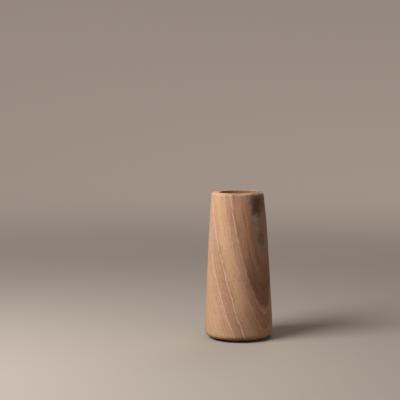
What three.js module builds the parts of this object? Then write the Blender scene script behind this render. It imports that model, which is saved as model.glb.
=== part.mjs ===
// A vase turned from one block of sandstone.
// The block is shaped on a lathe, and its bore is drilled with a diamond core bit.
// A poured resin lining makes the porous stone hold water, and a foam pad is glued under the foot.
// Millimetres, +Z up. The origin is the centre of the face that stands on the table.
import * as THREE from "three";

// Whole vase
const overallHeight = 200;

// Foam pad and the adhesive film that holds it
const padThickness = 2.2;
const padEdgeRound = 0.5;
const padInset = 2.5; // from the edge of the stone's flat underside to the edge of the pad
const filmThickness = 0.3;
const filmInset = 0.6; // from the edge of the pad to the edge of the film

// Outside of the stone
const footDiameter = 93.6; // where the tapered side would meet the underside
const footRound = 7;
const taperDegrees = 2.75;
const shoulderDrop = 90; // from the rim down to where the side starts to bow inwards
const shoulderDraw = 2.1; // how far the rim is drawn in from the straight taper
const rimFallDegrees = 5; // slope of the rim's top, outwards and down
const rimOuterRound = 2.8;
const rimInnerRound = 1.2;
const sideAboveBow = 1.5; // straight stretch left for the rim's outer round to start on, in its radii

// Bore, as the core bit leaves it
const boreDiameter = 50;
const floorThickness = 18; // stone left under the bit's cut
const kerfWidth = 3.5; // ring that the bit's teeth cut at the bottom
const stubHeight = 3; // snapped core left standing in that ring
const stubCrown = 0.8; // how far the broken face rises towards its middle
const crownShare = 0.7; // of that rise, what is reached halfway in

// Resin lining
const liningStart = 14; // bare stone between the rim and the lining's edge
const liningWall = 0.6;
const liningOverStub = 1.4; // depth of the resin pool above the snapped core
const liningFloorRound = 3;

// Fineness of the faceted solids
const sides = 96;
const shoulderSteps = 7;
const roundSteps = 6;
const smallRoundSteps = 3;

// Heights and radii that follow from the sizes above
const undersideZ = padThickness + filmThickness;
const boreRadius = boreDiameter / 2;
const kerfZ = undersideZ + floorThickness;
const stubZ = kerfZ + stubHeight;
const poolZ = stubZ + stubCrown + liningOverStub;
const shoulderZ = overallHeight - shoulderDrop;
const taper = Math.tan(THREE.MathUtils.degToRad(taperDegrees));

// A point of a turned outline: distance from the axis, then height.
const at = (radius, height) => new THREE.Vector2(radius, height);

// Radius of the stone's side at a height: a straight taper, bowed inwards above the shoulder.
function sideRadius(height) {
  const straight = footDiameter / 2 - taper * (height - undersideZ);
  const intoShoulder = Math.max(0, height - shoulderZ) / shoulderDrop;
  return straight - shoulderDraw * intoShoulder ** 2;
}

// Points of the arc that rounds the corner between two straight stretches of an outline.
function roundedCorner(before, corner, after, radius, steps) {
  const toBefore = before.clone().sub(corner).normalize();
  const toAfter = after.clone().sub(corner).normalize();
  const halfAngle = Math.acos(toBefore.dot(toAfter)) / 2;
  const centre = toBefore.clone().add(toAfter).setLength(radius / Math.sin(halfAngle)).add(corner);
  const run = radius / Math.tan(halfAngle);
  const start = corner.clone().addScaledVector(toBefore, run).sub(centre);
  const end = corner.clone().addScaledVector(toAfter, run).sub(centre);
  const turn = Math.atan2(start.cross(end), start.dot(end));
  const points = [];
  for (let i = 0; i <= steps; i++) {
    points.push(start.clone().rotateAround(at(0, 0), (turn * i) / steps).add(centre));
  }
  return points;
}

// A solid of revolution about the Z axis from an outline that runs anticlockwise from axis to axis.
function turned(name, outline, material) {
  const geometry = new THREE.LatheGeometry(outline, sides);
  geometry.rotateX(Math.PI / 2);
  const mesh = new THREE.Mesh(geometry, material);
  mesh.name = name;
  return mesh;
}

// The stub of the core, from the bottom corner of the bore to the axis.
function boreFloorOutline() {
  const kerfInnerRadius = boreRadius - kerfWidth;
  const halfwayIn = kerfInnerRadius / 2;
  return [
    at(boreRadius, kerfZ),
    at(kerfInnerRadius, kerfZ),
    at(kerfInnerRadius, stubZ),
    at(halfwayIn, stubZ + stubCrown * crownShare),
    at(0, stubZ + stubCrown),
  ];
}

// Outside of the stone, from the axis at the underside up to the rim and down into the bore.
function stoneOutline() {
  const footCorner = at(footDiameter / 2, undersideZ);
  const shoulder = at(sideRadius(shoulderZ), shoulderZ);
  const foot = roundedCorner(at(0, undersideZ), footCorner, shoulder, footRound, roundSteps);

  // The rim's top falls outwards from the bore's corner to meet the side.
  // That corner stands above the finished height by what its rounding takes off.
  const rimFall = THREE.MathUtils.degToRad(rimFallDegrees);
  const takenOff = rimInnerRound * (Math.tan(rimFall) + 1 / Math.cos(rimFall) - 1);
  const innerCorner = at(boreRadius, overallHeight + takenOff);
  const rimWidth = sideRadius(overallHeight) - boreRadius;
  const outerCornerZ = innerCorner.y - Math.tan(rimFall) * rimWidth;
  const outerCorner = at(sideRadius(outerCornerZ), outerCornerZ);

  // The bow is sampled up to just under the outer round, and the round starts on its last stretch.
  const bowTopZ = outerCornerZ - sideAboveBow * rimOuterRound;
  const bow = [];
  for (let i = 1; i <= shoulderSteps; i++) {
    const height = shoulderZ + ((bowTopZ - shoulderZ) * i) / shoulderSteps;
    bow.push(at(sideRadius(height), height));
  }
  const outerRound = roundedCorner(bow.at(-1), outerCorner, innerCorner, rimOuterRound, roundSteps);
  const boreBottom = at(boreRadius, kerfZ);
  const innerRound = roundedCorner(outerCorner, innerCorner, boreBottom, rimInnerRound, smallRoundSteps);
  return [at(0, undersideZ), ...foot, shoulder, ...bow, ...outerRound, ...innerRound, ...boreFloorOutline()];
}

// The lining fills the ring and covers the stub below, and lies flat on top where the resin pooled.
function liningOutline() {
  const liningTopZ = overallHeight - liningStart;
  const innerRadius = boreRadius - liningWall;
  const poolCorner = at(innerRadius, poolZ);
  const floorRound = roundedCorner(
    at(innerRadius, liningTopZ), poolCorner, at(0, poolZ), liningFloorRound, smallRoundSteps);
  return [
    ...boreFloorOutline().reverse(),
    at(boreRadius, liningTopZ),
    at(innerRadius, liningTopZ),
    ...floorRound,
    at(0, poolZ),
  ];
}

// The pad under the foot, with its cut edges eased by wear.
function padOutline() {
  const topCorner = at(padRadius(), padThickness);
  const bottomCorner = at(padRadius(), 0);
  return [
    at(0, 0),
    ...roundedCorner(at(0, 0), bottomCorner, topCorner, padEdgeRound, smallRoundSteps),
    topCorner,
    at(0, padThickness),
  ];
}

function padRadius() {
  return footDiameter / 2 - footRound - padInset;
}

function filmOutline() {
  const filmRadius = padRadius() - filmInset;
  return [at(0, padThickness), at(filmRadius, padThickness), at(filmRadius, undersideZ), at(0, undersideZ)];
}

const sandstone = new THREE.MeshStandardMaterial({ color: 0xb98a66, roughness: 0.85, metalness: 0 });
const resin = new THREE.MeshStandardMaterial({ color: 0x8a6648, roughness: 0.3, metalness: 0 });
const blackFoam = new THREE.MeshStandardMaterial({ color: 0x17171a, roughness: 0.95, metalness: 0 });
const clearAdhesive = new THREE.MeshStandardMaterial({ color: 0xd8d4c8, roughness: 0.4, metalness: 0 });

const vase = new THREE.Group();
vase.add(turned("stone_body", stoneOutline(), sandstone));
vase.add(turned("bore_lining", liningOutline(), resin));
vase.add(turned("foot_pad", padOutline(), blackFoam));
vase.add(turned("pad_adhesive", filmOutline(), clearAdhesive));

export default vase;
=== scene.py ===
"""A vase turned from one block of banded sandstone, dressed and set under soft studio light."""
import math

import bpy
from mathutils import Matrix, Vector, noise


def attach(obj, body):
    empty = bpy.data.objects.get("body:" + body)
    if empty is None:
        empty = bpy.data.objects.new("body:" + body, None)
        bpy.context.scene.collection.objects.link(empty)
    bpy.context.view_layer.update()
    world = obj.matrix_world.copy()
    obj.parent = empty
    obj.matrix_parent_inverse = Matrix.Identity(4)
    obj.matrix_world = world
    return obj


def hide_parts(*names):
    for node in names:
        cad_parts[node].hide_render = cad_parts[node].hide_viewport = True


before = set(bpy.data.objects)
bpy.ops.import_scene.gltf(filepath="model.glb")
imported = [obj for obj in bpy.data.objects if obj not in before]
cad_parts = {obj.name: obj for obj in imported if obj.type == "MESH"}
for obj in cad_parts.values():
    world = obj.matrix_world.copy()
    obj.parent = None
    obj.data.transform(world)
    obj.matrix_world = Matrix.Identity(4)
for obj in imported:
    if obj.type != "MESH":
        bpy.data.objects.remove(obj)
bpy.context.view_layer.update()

# The stone body.
# One block of banded sandstone, turned on a lathe to a tapered outline and honed by hand.
# A diamond core bit drilled the bore, and the core was snapped off, so a stub stands in the bit's ring.

# Sizes are in mm, apart from those of the studio, the lights and the camera
MM = 0.001
OVERALL_HEIGHT = 200.0
UNDERSIDE_Z = 2.5
FOOT_RADIUS = 46.8
FOOT_ROUND = 7.0
TAPER = math.tan(math.radians(2.75))
SHOULDER_Z = 110.0
SHOULDER_DROP = 90.0
SHOULDER_DRAW = 2.1
RIM_FALL = math.radians(4)
RIM_OUTER_ROUND = 2.2
RIM_INNER_ROUND = 1.2
BORE_RADIUS = 25.0
KERF_Z = 20.5
KERF_WIDTH = 3.5
STUB_RADIUS = BORE_RADIUS - KERF_WIDTH
STUB_Z = 23.5
STUB_CROWN = 0.8

# Fineness of the mesh: corners round the axis, and mm between the rings of corners
STONE_SIDES = 384
SIDE_STEP = 1.2
ROUND_STEP = 0.6
BORE_STEP = 4.0


def side_radius(height):
    """The stone's side at a height: a straight taper, bowed inwards above the shoulder."""
    bow = max(0.0, height - SHOULDER_Z) / SHOULDER_DROP
    return FOOT_RADIUS - TAPER * (height - UNDERSIDE_Z) - SHOULDER_DRAW * bow**2


def straight(start, end, step):
    """Points from start up to, but not at, end."""
    count = max(1, round((end - start).length / step))
    return [start.lerp(end, i / count) for i in range(count)]


def rounded(before, corner, after, radius, step):
    """Points of the arc that rounds a corner."""
    to_before = (before - corner).normalized()
    to_after = (after - corner).normalized()
    half = to_before.angle(to_after) / 2
    centre = corner + (to_before + to_after).normalized() * radius / math.sin(half)
    start = corner + to_before * radius / math.tan(half) - centre
    end = corner + to_after * radius / math.tan(half) - centre
    turn = math.atan2(start.x * end.y - start.y * end.x, start.dot(end))
    count = max(2, round(abs(turn) * radius / step))
    return [centre + Matrix.Rotation(turn * i / count, 2) @ start for i in range(count + 1)]


def spun(points, sides):
    """The rings of corners that the points of an outline leave as they turn about the axis."""
    angles = [math.tau * i / sides for i in range(sides)]
    return [Vector((p.x * math.cos(a), p.x * math.sin(a), p.y)) for p in points for a in angles]


def bands(first, rings, sides):
    """The faces between each ring of corners and the next, counted from the corner numbered first."""
    faces = []
    for ring in range(rings - 1):
        low = first + ring * sides
        high = low + sides
        for i in range(sides):
            j = (i + 1) % sides
            faces.append((low + i, low + j, high + j, high + i))
    return faces


def added(name, verts, faces):
    """A smooth mesh object in the scene."""
    mesh = bpy.data.meshes.new(name)
    mesh.from_pydata(verts, [], faces)
    mesh.shade_smooth()
    piece = bpy.data.objects.new(name, mesh)
    bpy.context.collection.objects.link(piece)
    return piece


def turned(name, outline, sides, finish=None):
    """A closed solid of revolution from an outline in mm that runs from the axis back to the axis."""
    rings = outline[1:-1]
    verts = [Vector((0, 0, outline[0].y)), *spun(rings, sides), Vector((0, 0, outline[-1].y))]
    last = len(verts) - 1
    top = last - sides
    faces = [(0, 1 + (i + 1) % sides, 1 + i) for i in range(sides)]
    faces += bands(1, len(rings), sides)
    faces += [(top + i, top + (i + 1) % sides, last) for i in range(sides)]
    if finish:
        verts = [finish(v) for v in verts]
    piece = added(name, [v * MM for v in verts], faces)
    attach(piece, "root")
    return piece


def stone_outline():
    """From the axis under the foot, up the side and over the rim, down the bore to its stub."""
    foot_corner = Vector((FOOT_RADIUS, UNDERSIDE_Z))
    shoulder = Vector((side_radius(SHOULDER_Z), SHOULDER_Z))
    foot = rounded(Vector((0, UNDERSIDE_Z)), foot_corner, shoulder, FOOT_ROUND, ROUND_STEP)

    # The rim's inner corner stands above the finished height by what its rounding takes off
    taken_off = RIM_INNER_ROUND * (math.tan(RIM_FALL) + 1 / math.cos(RIM_FALL) - 1)
    inner = Vector((BORE_RADIUS, OVERALL_HEIGHT + taken_off))
    outer_z = inner.y - math.tan(RIM_FALL) * (side_radius(OVERALL_HEIGHT) - BORE_RADIUS)
    outer = Vector((side_radius(outer_z), outer_z))
    bow_top = outer_z - RIM_OUTER_ROUND
    below_rim = Vector((side_radius(bow_top), bow_top))

    side_z = foot[-1].y
    count = round((bow_top - side_z) / SIDE_STEP)
    heights = [side_z + (bow_top - side_z) * i / count for i in range(1, count)]
    side = [Vector((side_radius(h), h)) for h in heights]
    outer_round = rounded(below_rim, outer, inner, RIM_OUTER_ROUND, ROUND_STEP)
    bore_bottom = Vector((BORE_RADIUS, KERF_Z))
    inner_round = rounded(outer, inner, bore_bottom, RIM_INNER_ROUND, ROUND_STEP)

    kerf_corner = Vector((STUB_RADIUS, KERF_Z))
    stub_edge = Vector((STUB_RADIUS, STUB_Z))
    stub_middle = Vector((0, STUB_Z + STUB_CROWN))
    outline = straight(Vector((0, UNDERSIDE_Z)), foot[0], BORE_STEP)
    outline += foot + side + outer_round
    outline += straight(outer_round[-1], inner_round[0], ROUND_STEP)[1:]
    outline += inner_round + straight(inner_round[-1], bore_bottom, BORE_STEP)[1:]
    outline += straight(bore_bottom, kerf_corner, BORE_STEP)
    outline += straight(kerf_corner, stub_edge, BORE_STEP)
    outline += straight(stub_edge, stub_middle, BORE_STEP)
    outline.append(stub_middle)
    return outline


# What honing and use leave on the turned stone, in mm
HAND_WAVE = 0.35
HAND_WAVE_LENGTH = 34.0
TOOL_WAVE = 0.09
TOOL_WAVE_LENGTH = 7.0
WAVE_MARGIN = 0.5
WAVE_START = 3.0
PIT_SPACING = 11.0
PIT_RADIUS = 1.5
PIT_DEPTH = 0.4
EDGE_REACH = 6.0
CHIP_SPACING = 15.0
CHIP_RADIUS = 4.5
CHIP_DEPTH = 0.5
CHIP_SHIFT = Vector((7, 3, 0))
WORN_CORNER = Vector((0.96, -0.28))
WORN_FOCUS = 4
CORNER_WEAR = 1.8
EVEN_WEAR = 0.7
WEAR_SIZE = 9.0
UP = Vector((0, 0, 1))


def share(value):
    """A value kept between 0 and 1."""
    return min(1.0, max(0.0, value))


def hollow(point, spacing, radius, depth):
    """Depth of the hollow at a point, where hollows lie about spacing apart all through the stone."""
    away = noise.voronoi(point / spacing)[0][0] * spacing
    return depth * max(0.0, 1 - (away / radius) ** 2)


def honed(point):
    """Moves a point of the turned stone as honing and use do: slow waves, small pits and a worn rim."""
    radius = math.hypot(point.x, point.y)
    if radius == 0:
        return point
    outside = share((radius - BORE_RADIUS - WAVE_MARGIN) / WAVE_START)
    above_foot = share((point.z - UNDERSIDE_Z) / WAVE_START)
    by_hand = HAND_WAVE * noise.noise(point / HAND_WAVE_LENGTH)
    by_tool = TOOL_WAVE * noise.noise(point / TOOL_WAVE_LENGTH)
    pit = hollow(point, PIT_SPACING, PIT_RADIUS, PIT_DEPTH)
    outward = Vector((point.x, point.y, 0)).normalized()
    moved = point + outward * outside * above_foot * (by_hand + by_tool - pit)

    # At the rim's outer edge the stone is chipped a little, and it is worn rounder at one corner
    from_edge = math.hypot(radius - side_radius(OVERALL_HEIGHT), point.z - OVERALL_HEIGHT)
    at_edge = max(0.0, 1 - from_edge / EDGE_REACH)
    chip = hollow(point + CHIP_SHIFT, CHIP_SPACING, CHIP_RADIUS, CHIP_DEPTH)
    at_corner = max(0.0, outward.xy.dot(WORN_CORNER)) ** WORN_FOCUS
    wear = CORNER_WEAR * at_corner * (EVEN_WEAR + noise.noise(point / WEAR_SIZE))
    return moved - (outward + UP) * at_edge * (chip + wear)


stone = turned("turned_stone", stone_outline(), STONE_SIDES, honed)
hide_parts("stone_body")


class Wire:
    """An output socket in a material. Arithmetic on it adds Math nodes."""

    def __init__(self, tree, socket=None):
        self.tree = tree
        self.socket = socket

    def node(self, kind, settings, sockets, output=0):
        """Adds a node with its settings and inputs, and gives back one of its outputs."""
        made = self.tree.nodes.new(kind)
        for name, value in settings.items():
            if name == "stops":
                ramp = made.color_ramp
                for i, (place, colour) in enumerate(value):
                    stop = ramp.elements[i] if i < 2 else ramp.elements.new(place)
                    stop.position = place
                    stop.color = colour
            else:
                setattr(made, name, value)
        for name, value in sockets.items():
            if isinstance(value, Wire):
                self.tree.links.new(value.socket, made.inputs[name])
            else:
                made.inputs[name].default_value = value
        return Wire(self.tree, made.outputs[output])

    def into(self, shader, name):
        """Links this socket into one of the shader's inputs."""
        self.tree.links.new(self.socket, shader.inputs[name])

    def math(self, operation, *terms):
        """Adds a Math node that works on the terms."""
        return self.node("ShaderNodeMath", {"operation": operation}, dict(enumerate(terms)))

    def __add__(self, other):
        return self.math("ADD", self, other)

    def __sub__(self, other):
        return self.math("SUBTRACT", self, other)

    def __rsub__(self, other):
        return self.math("SUBTRACT", other, self)

    def __mul__(self, other):
        return self.math("MULTIPLY", self, other)

    def __truediv__(self, other):
        return self.math("DIVIDE", self, other)

    __radd__ = __add__
    __rmul__ = __mul__


def shown(red, green, blue):
    """A colour as it looks on a screen, 0 to 255, turned into the light that a shader wants."""
    light = []
    for part in (red / 255, green / 255, blue / 255):
        light.append(part / 12.92 if part <= 0.04045 else ((part + 0.055) / 1.055) ** 2.4)
    return (*light, 1.0)


def new_finish(name):
    """A material, its Principled shader, and a wire with the place on the object in mm."""
    material = bpy.data.materials.new(name)
    material.use_nodes = True
    tree = material.node_tree
    on_object = Wire(tree).node("ShaderNodeTexCoord", {}, {}, output="Object")
    to_mm = {"Vector": on_object, "Scale": 1 / MM}
    place = on_object.node("ShaderNodeVectorMath", {"operation": "SCALE"}, to_mm)
    return material, tree.nodes["Principled BSDF"], place


def rise(value, low, high):
    """0 below low, 1 above high, and smooth between."""
    return value.node(
        "ShaderNodeMapRange",
        {"interpolation_type": "SMOOTHSTEP"},
        {"Value": value, "From Min": low, "From Max": high},
    )


def over(under, colour, mask, strength=1.0):
    """A colour laid over another where the mask is 1, as strongly as the strength says."""
    return mask.node(
        "ShaderNodeMix",
        {"data_type": "RGBA", "clamp_factor": True},
        {0: mask * strength, 6: under, 7: colour},
        output=2,
    )


def grain(place, size, detail=2.0, roughness=0.5, output="Fac"):
    """Noise from about 0 to 1 whose lumps are size mm across."""
    return place.node(
        "ShaderNodeTexNoise",
        {},
        {"Vector": place, "Scale": 1 / size, "Detail": detail, "Roughness": roughness},
        output,
    )


# Where the pale seams lie, in mm across the beds
SEAM_LOW = -9.6
SEAM_LEFT = 9.7
SEAM_MIDDLE = 23.3
SEAM_ROSE = 42.4
SEAM_BROWN = 49.4
SEAM_GREY = 68.2

HONEY = shown(209, 165, 128)
LIGHT_HONEY = shown(215, 173, 135)
PINK_HONEY = shown(207, 158, 128)
GOLD = shown(200, 153, 108)
ROSE = shown(201, 153, 126)
DUSKY_ROSE = shown(190, 141, 115)
WARM_ROSE = shown(203, 152, 120)
CREAM_AND_SHEEN = shown(219, 183, 153)
MAUVE_BROWN = shown(168, 127, 104)
RUSSET = shown(162, 117, 88)
DEEP_RUSSET = shown(138, 97, 75)
OCHRE = shown(174, 125, 86)
RUST = shown(178, 122, 80)
GREY_BED = shown(178, 152, 138)
MAUVE_GREY = shown(170, 134, 121)
SLATE_BLOT = shown(126, 101, 87)
IRON_BLOT = shown(92, 69, 54)
CREAM_SEAM = shown(224, 190, 164)
DARK_SPECK = shown(112, 68, 48)
# Painted shade for the wall of the bore
BORE_SHADE = shown(104, 66, 41)

sandstone, sandstone_shader, place = new_finish("banded_sandstone")
across, depth, height = (place.node("ShaderNodeSeparateXYZ", {}, {0: place}, output=i) for i in range(3))


def waver(size, reach, detail=2.0):
    """Noise that swings by reach in all about 0, whose lumps are size mm across."""
    return (grain(place, size, detail) - 0.5) * reach


# The beds dip to the left and bend once, like a shallow fold.
# Each coefficient is the number of mm across the beds that one FOLD_UNIT, or its square, adds.
FOLD_UNIT = 100.0
DIP_RIGHT = 75
DIP_BACK = -100
DIP_UP = 35
BEND_RIGHT = 98
BEND_UP = -6
TWIST_RIGHT_BACK = -31
TWIST_UP_BACK = 17
right = across / FOLD_UNIT
back = depth / FOLD_UNIT
up = height / FOLD_UNIT - 1
dip = DIP_RIGHT * right + DIP_BACK * back + DIP_UP * up
bend = right * (BEND_RIGHT * right + TWIST_RIGHT_BACK * back) + up * (TWIST_UP_BACK * back + BEND_UP * up)
fold = dip + bend

# Small kinks grow from none to full between these two beds
KINKED_BEDS = (30, 46)
kinks = waver(4.5, 2.2, detail=3.0) * rise(fold, *KINKED_BEDS)
bed = fold + waver(26, 5, detail=1.0) + waver(7, 2.4) + kinks

# The colour of the sand by its place in mm across the beds
BED_START = -60.0
BED_END = 100.0
BED_COLOURS = (
    (BED_START, RUSSET),
    (-42, DUSKY_ROSE),
    (-36, HONEY),
    (-20, LIGHT_HONEY),
    (-10, HONEY),
    (-4, LIGHT_HONEY),
    (5, PINK_HONEY),
    (9, PINK_HONEY),
    (11, ROSE),
    (21, DUSKY_ROSE),
    (23.5, ROSE),
    (26, HONEY),
    (32, LIGHT_HONEY),
    (40, HONEY),
    (43, ROSE),
    (48.6, DUSKY_ROSE),
    (51, MAUVE_BROWN),
    (56, RUSSET),
    (62, MAUVE_BROWN),
    (64.8, OCHRE),
    (67, RUSSET),
    (BED_END, DUSKY_ROSE),
)
span = BED_END - BED_START
stops = [((at - BED_START) / span, colour) for at, colour in BED_COLOURS]
colour = bed.node("ShaderNodeValToRGB", {"stops": stops}, {"Fac": (bed - BED_START) / span})

# The rose and brown beds pale towards the top, and all beds but the brown ones have golden clouds. The cream
# on the upper rose bed, along the left edge, is partly paler stone and partly painted sheen
PALING_HEIGHTS = (90, 190)
upper = rise(height + waver(20, 40), *PALING_HEIGHTS)
lower = 1 - upper
left_rose = rise(bed, SEAM_LEFT - 1, SEAM_LEFT + 2) * (1 - rise(bed, SEAM_MIDDLE - 2, SEAM_MIDDLE + 1))
brown_side = rise(bed, SEAM_ROSE, SEAM_BROWN + 2)
clouds = rise(grain(place, 13, detail=3.0, roughness=0.55), 0.42, 0.68)
# Partly painted sheen: cream on the upper rose bed along the left edge
colour = over(colour, CREAM_AND_SHEEN, left_rose * upper, strength=0.7)
colour = over(colour, GOLD, clouds * (1 - rise(bed, SEAM_ROSE - 2, SEAM_ROSE)), strength=0.3)
colour = over(colour, WARM_ROSE, brown_side * upper, strength=0.65)

# Thin layers of darker and paler sand inside each bed, drawn out along it
LAYER_THICKNESS = 1.7
LAYER_HEIGHT = 46
LAYER_WIDTH = 30
layer_place = place.node(
    "ShaderNodeCombineXYZ", {}, {0: bed / LAYER_THICKNESS, 1: height / LAYER_HEIGHT, 2: across / LAYER_WIDTH}
)
layers = grain(layer_place, 1, detail=3.0)
colour = over(colour, DEEP_RUSSET, rise(layers, 0.49, 0.66) * (0.12 + brown_side * 0.55))
colour = over(colour, LIGHT_HONEY, rise(1 - layers, 0.52, 0.7), strength=0.3)

# Painted warm shade towards the foot on the right, which makes the sand there redder and darker, and dark
# sand low in the fold
FOOT_HEIGHTS = (10, 95)
CORE_HEIGHTS = (78, 112)
CORE_BEDS = (57, 62)
shaded_foot = (1 - rise(height, *FOOT_HEIGHTS)) * (1 - brown_side) * rise(across, -30, 20)
# Painted shade: russet laid low on the right side
colour = over(colour, RUSSET, shaded_foot, strength=0.4)
dark_core = rise(bed, SEAM_BROWN + 0.5, SEAM_BROWN + 3) * (1 - rise(bed, *CORE_BEDS))
colour = over(colour, DEEP_RUSSET, dark_core * (1 - rise(height, *CORE_HEIGHTS)), strength=0.5)

# The grey bed beyond the last seam, which is wider on the right and fades out below mid height
GREY_HEIGHTS = (95, 126)
WIDENING = (22, 34)
GREY_WIDER = 4.5
fade = rise(height + waver(14, 26), *GREY_HEIGHTS)
grey_place = bed + rise(across, *WIDENING) * GREY_WIDER
past_grey = rise(grey_place, SEAM_GREY - 0.9, SEAM_GREY + 0.7)
grey = past_grey * fade
colour = over(colour, GREY_BED, grey, strength=0.9)
colour = over(colour, MAUVE_GREY, grey * rise(across + waver(12, 14), 24, 33), strength=0.7)

# A rusty streak along its edge
STREAK_BEDS = (62.5, 66)
STREAK_HEIGHTS = (88, 124)
STREAK_END = (27, 33)
streak = rise(bed, *STREAK_BEDS) * (1 - past_grey)
streak = streak * rise(height, *STREAK_HEIGHTS) * (1 - rise(across, *STREAK_END))
colour = over(colour, RUST, streak * rise(grain(place, 12), 0.3, 0.55), strength=0.48)

# Cloudy blots in the grey bed, whose outlines stray by up to half of BLOT_STRAY
BLOT_STRAY = 18
BLOT_GRAIN = 9
stray = grain(place, BLOT_GRAIN, detail=5.0, roughness=0.65, output="Color")


def blot(middle, half_size, softness):
    """A cloudy lump inside the stone, 1 in its middle, around a place in mm."""
    target = [m + BLOT_STRAY / 2 for m in middle]
    strayed = {0: stray, 1: (BLOT_STRAY,) * 3, 2: place}
    away = place.node("ShaderNodeVectorMath", {"operation": "MULTIPLY_ADD"}, strayed)
    away = away.node("ShaderNodeVectorMath", {"operation": "SUBTRACT"}, {0: away, 1: target})
    away = away.node("ShaderNodeVectorMath", {"operation": "DIVIDE"}, {0: away, 1: half_size})
    distance = away.node("ShaderNodeVectorMath", {"operation": "LENGTH"}, {0: away}, output="Value")
    return 1 - rise(distance, 1 - softness, 1 + softness)


smudges = rise(grain(place, 7, detail=4.0, roughness=0.65), 0.45, 0.7)
colour = over(colour, SLATE_BLOT, smudges * grey, strength=0.6)
for stain, middle, half_size, softness, strength in (
    (SLATE_BLOT, (27, -25, 187), (13, 17, 16), 0.25, 0.9),
    (IRON_BLOT, (25, -28, 184), (6.5, 12, 11), 0.3, 0.9),
    (SLATE_BLOT, (31, -26, 139), (5.5, 13, 10), 0.35, 0.7),
):
    colour = over(colour, stain, blot(middle, half_size, softness) * grey, strength)


def stained_edge(at, reach):
    """Sand darkened by iron beside a seam, sharp at the seam and fading away from it."""
    stain = rise(bed, at - 0.3, at + 0.3) * (1 - rise(bed, at + 0.5, at + reach))
    return stain * rise(grain(place, 15), 0.35, 0.6)


for at, reach, strength, where in (
    (SEAM_MIDDLE, 4.5, 0.6, lower),
    (SEAM_ROSE, 2.5, 0.5, 1),
    (SEAM_LEFT, 3.0, 0.3, lower),
):
    colour = over(colour, DEEP_RUSSET, stained_edge(at, reach) * where, strength)


def seam(at, width):
    """A thin pale line where two beds meet, broken up along its length."""
    away = bed - at
    away = away.math("ABSOLUTE", away)
    return (1 - rise(away, width * 0.3, width)) * rise(grain(place, 9), 0.25, 0.5)


for at, width, strength in (
    (SEAM_LOW, 0.8, 0.9),
    (SEAM_LEFT - 3.2, 0.6, 0.45),
    (SEAM_LEFT, 1.1, 1.0),
    (SEAM_MIDDLE, 1.2, 0.95),
    (SEAM_ROSE, 0.8, 0.45),
    (SEAM_BROWN, 1.0, 0.5),
):
    colour = over(colour, CREAM_SEAM, seam(at, width), strength)

# Painted shade on the wall of the bore, which darkens it as the shade inside the mouth would
radius = across * across + depth * depth
radius = radius.math("SQRT", radius)
bore_shade = 1 - rise(radius, BORE_RADIUS + 0.15, BORE_RADIUS + 0.8)
colour = over(colour, BORE_SHADE, bore_shade, strength=0.8)

# Lumps, dark specks that follow the layers, and fine sand grain
LUMP_SIZE = 2.6
SPECK_SIZE = 1.5
SAND_SIZE = 0.6
lumps = grain(place, LUMP_SIZE, detail=3.0, roughness=0.6)
sand = grain(place, SAND_SIZE, roughness=0.6)
specks = rise(grain(place, SPECK_SIZE, roughness=0.6) + (layers - 0.5) * 0.3, 0.62, 0.7)
colour = over(colour, RUSSET, rise(lumps, 0.5, 0.68), strength=0.28)
colour = over(colour, DARK_SPECK, specks * (0.35 + (left_rose + brown_side) * 0.4))
colour = over(colour, DEEP_RUSSET, rise(sand, 0.5, 0.75), strength=0.35)
colour = over(colour, CREAM_SEAM, rise(1 - sand, 0.55, 0.8), strength=0.4)
colour.into(sandstone_shader, "Base Color")

STONE_ROUGHNESS = 0.72
STONE_SHINE = 0.35
RELIEF_DEPTH = 0.4 * MM
(STONE_ROUGHNESS + grain(place, 5) * 0.2).into(sandstone_shader, "Roughness")
sandstone_shader.inputs["Specular IOR Level"].default_value = STONE_SHINE
relief = sand * 0.5 + lumps - specks * 0.6
bump = relief.node("ShaderNodeBump", {}, {"Height": relief, "Strength": 0.35, "Distance": RELIEF_DEPTH})
bump.into(sandstone_shader, "Normal")
stone.data.materials.append(sandstone)

# The resin lining.
# Clear resin poured into the bore and turned while it sets, so that the porous stone holds water.
# It fills the bit's ring, covers the stub, and ends in an uneven edge below the rim.
LINING_TOP_Z = 186.0
LINING_WALL = 0.6
LINING_EDGE_ROUND = LINING_WALL / 2
POOL_Z = 25.7
LINING_FLOOR_ROUND = 3.0
EDGE_LIFT = 1.4
EDGE_LIFT_LENGTH = 11.0
EDGE_LIFT_DEPTH = 12.0
LINING_SIDES = 192
FINE_STEP = 0.15


def lining_outline():
    """From the middle of the stub, through the ring and up the bore's wall, then down inside to the pool."""
    inner = BORE_RADIUS - LINING_WALL
    pool = Vector((inner, POOL_Z))
    pool_middle = Vector((0, POOL_Z))
    top_out = Vector((BORE_RADIUS, LINING_TOP_Z))
    top_in = Vector((inner, LINING_TOP_Z))
    below_edge = top_in - Vector((0, LINING_EDGE_ROUND))
    above_pool = pool + Vector((0, LINING_FLOOR_ROUND))
    outline = [Vector((0, STUB_Z + STUB_CROWN)), Vector((STUB_RADIUS, STUB_Z)), Vector((STUB_RADIUS, KERF_Z))]
    outline += straight(Vector((BORE_RADIUS, KERF_Z)), top_out, BORE_STEP)
    outline += rounded(pool, top_in, top_out, LINING_EDGE_ROUND, FINE_STEP)[::-1]
    outline += straight(below_edge, above_pool, BORE_STEP)[1:]
    outline += rounded(top_in, pool, pool_middle, LINING_FLOOR_ROUND, ROUND_STEP)
    outline.append(pool_middle)
    return outline


def poured(point):
    """Lifts and lowers the resin's top edge, which ran unevenly before it set."""
    near_top = share((point.z - LINING_TOP_Z + EDGE_LIFT_DEPTH) / EDGE_LIFT_DEPTH)
    around = Vector((point.x, point.y, 0)) / EDGE_LIFT_LENGTH
    return point + UP * near_top * EDGE_LIFT * noise.noise(around)


lining = turned("poured_lining", lining_outline(), LINING_SIDES, poured)
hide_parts("bore_lining")

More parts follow.
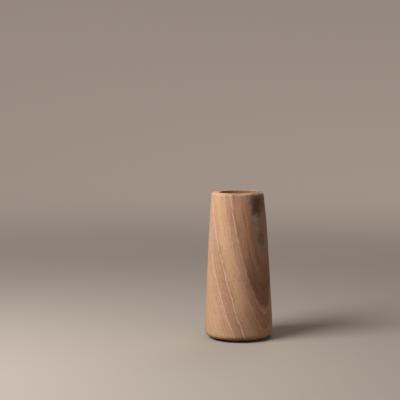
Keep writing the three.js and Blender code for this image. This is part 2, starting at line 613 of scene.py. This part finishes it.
resin, resin_shader, place = new_finish("wet_look_resin")
clouds = rise(grain(place, 12, detail=4.0, roughness=0.6), 0.35, 0.65)
over(shown(132, 94, 66), shown(168, 122, 86), clouds).into(resin_shader, "Base Color")
resin_shader.inputs["Roughness"].default_value = 0.32
lining.data.materials.append(resin)

# The adhesive film.
# A disc of cloudy acrylic adhesive between the stone and the pad, which holds the pad.
FILM_RADIUS = 36.7
PAD_TOP_Z = 2.2
film_low = Vector((0, PAD_TOP_Z))
film_high = Vector((0, UNDERSIDE_Z))
film_edge = Vector((FILM_RADIUS, 0))
film_outline = [film_low, film_low + film_edge, film_high + film_edge, film_high]
film = turned("adhesive_disc", film_outline, LINING_SIDES)
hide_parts("pad_adhesive")

acrylic, acrylic_shader, place = new_finish("cloudy_acrylic")
clouds = rise(grain(place, 4), 0.4, 0.6)
over(shown(196, 190, 178), shown(216, 211, 200), clouds).into(acrylic_shader, "Base Color")
acrylic_shader.inputs["Roughness"].default_value = 0.4
film.data.materials.append(acrylic)

# The foam pad.
# A disc of black closed-cell foam, die-cut and stuck under the foot so that the stone doesn't scratch.
PAD_RADIUS = 37.3
PAD_EDGE_ROUND = 0.5
CELL_SIZE = 0.6


def pad_outline():
    """From the axis on the lower face, round the worn edge, and back to the axis on top."""
    low = Vector((PAD_RADIUS, 0))
    high = Vector((PAD_RADIUS, PAD_TOP_Z))
    outline = straight(Vector((0, 0)), Vector((PAD_RADIUS - PAD_EDGE_ROUND, 0)), BORE_STEP)
    outline += rounded(Vector((0, 0)), low, high, PAD_EDGE_ROUND, FINE_STEP)
    outline += straight(high, Vector((0, PAD_TOP_Z)), BORE_STEP)
    outline.append(Vector((0, PAD_TOP_Z)))
    return outline


pad = turned("foam_disc", pad_outline(), LINING_SIDES)
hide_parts("foot_pad")

foam, foam_shader, place = new_finish("black_foam")
cells = place.node("ShaderNodeTexVoronoi", {}, {"Vector": place, "Scale": 1 / CELL_SIZE})
over(shown(16, 16, 18), shown(38, 38, 40), rise(cells, 0.2, 0.7)).into(foam_shader, "Base Color")
foam_shader.inputs["Roughness"].default_value = 0.95
pad.data.materials.append(foam)

# The studio, in metres.
# A round floor of pale paper, which rises in a curve to a wall all round. The camera sees it paler than
# the stone does, so that little light bounces back on the vase, and far paper glows for the camera alone.
FLOOR_CENTRE = 0.01
FLOOR_RADIUS = 2.4
COVE_RADIUS = 0.8
COVE_STEPS = 16
WALL_HEIGHT = 2.4
STUDIO_SIDES = 96
GLOW_DISTANCES = (500, 1900)

floor_edge = FLOOR_RADIUS - COVE_RADIUS
outline = [Vector((FLOOR_CENTRE, 0)), Vector((floor_edge, 0))]
for i in range(1, COVE_STEPS + 1):
    angle = math.pi / 2 * i / COVE_STEPS
    outline.append(Vector((floor_edge + COVE_RADIUS * math.sin(angle), COVE_RADIUS * (1 - math.cos(angle)))))
outline.append(Vector((FLOOR_RADIUS, WALL_HEIGHT)))
faces = [*bands(0, len(outline), STUDIO_SIDES), tuple(range(STUDIO_SIDES))]
cove = added("studio_cove", spun(outline, STUDIO_SIDES), faces)

paper, paper_shader, place = new_finish("pale_paper")
distance = place.node("ShaderNodeVectorMath", {"operation": "LENGTH"}, {0: place}, output="Value")

# 1 for the camera, also where it sees the paper in a reflection, and 0 for light that bounces
seen = 0
for ray in ("Is Camera Ray", "Is Glossy Ray", "Is Transmission Ray"):
    seen = seen + place.node("ShaderNodeLightPath", {}, {}, output=ray)
over(shown(96, 84, 74), shown(176, 165, 156), seen).into(paper_shader, "Base Color")
glow = over(shown(0, 0, 0), shown(124, 113, 105), seen * rise(distance, *GLOW_DISTANCES))
glow.into(paper_shader, "Emission Color")
paper_shader.inputs["Emission Strength"].default_value = 1.0
paper_shader.inputs["Roughness"].default_value = 0.9
paper_shader.inputs["Specular IOR Level"].default_value = 0.1
cove.data.materials.append(paper)

# The lights.
# A soft key like a window on the left, a low card that returns a little of it from the right,
# a dim card behind, and a dim room.
AIM = Vector((0, 0, 0.1))


def soft_light(name, size, watts, tint, location):
    """A rectangular lamp that points at the vase."""
    data = bpy.data.lights.new(name, "AREA")
    data.shape = "RECTANGLE"
    data.size, data.size_y = size
    data.energy = watts
    data.color = tint
    light = bpy.data.objects.new(name, data)
    light.location = location
    light.rotation_euler = (AIM - light.location).to_track_quat("-Z", "Y").to_euler()
    bpy.context.collection.objects.link(light)


soft_light("window_key", (0.6, 0.6), 14.2, (1.0, 0.99, 0.98), (-0.69, -0.42, 0.82))
soft_light("low_card", (1.8, 0.4), 8.2, (1.0, 0.87, 0.76), (1.72, -1.21, 0.45))
soft_light("back_card", (1.2, 0.8), 6.0, (1.0, 0.93, 0.87), (0.5, 1.4, 1.5))
room = bpy.data.worlds.new("dim_room")
room.use_nodes = True
background = room.node_tree.nodes["Background"]
background.inputs["Color"].default_value = (1.0, 0.96, 0.92, 1.0)
background.inputs["Strength"].default_value = 0.2
bpy.context.scene.world = room

# The camera.
# It stands where the photograph was taken from, with the same lens, lean and height.
CAMERA_PLACE = Vector((0, -1.52, 0.3377))
CAMERA_YAW = math.radians(1.938)
CAMERA_PITCH = math.radians(-5.579)
CAMERA_ROLL = math.radians(-0.734)
FOCAL_PIXELS = 1121.1
FRAME_PIXELS = 400
SENSOR = 36.0

camera_data = bpy.data.cameras.new("camera")
camera_data.sensor_width = SENSOR
camera_data.lens = SENSOR * FOCAL_PIXELS / FRAME_PIXELS
camera = bpy.data.objects.new("camera", camera_data)
yaw = Matrix.Rotation(CAMERA_YAW, 4, "Z")
pitch = Matrix.Rotation(math.pi / 2 + CAMERA_PITCH, 4, "X")
roll = Matrix.Rotation(CAMERA_ROLL, 4, "Z")
camera.matrix_world = Matrix.Translation(CAMERA_PLACE) @ yaw @ pitch @ roll
bpy.context.collection.objects.link(camera)
bpy.context.scene.camera = camera
bpy.context.scene.view_settings.view_transform = "Standard"
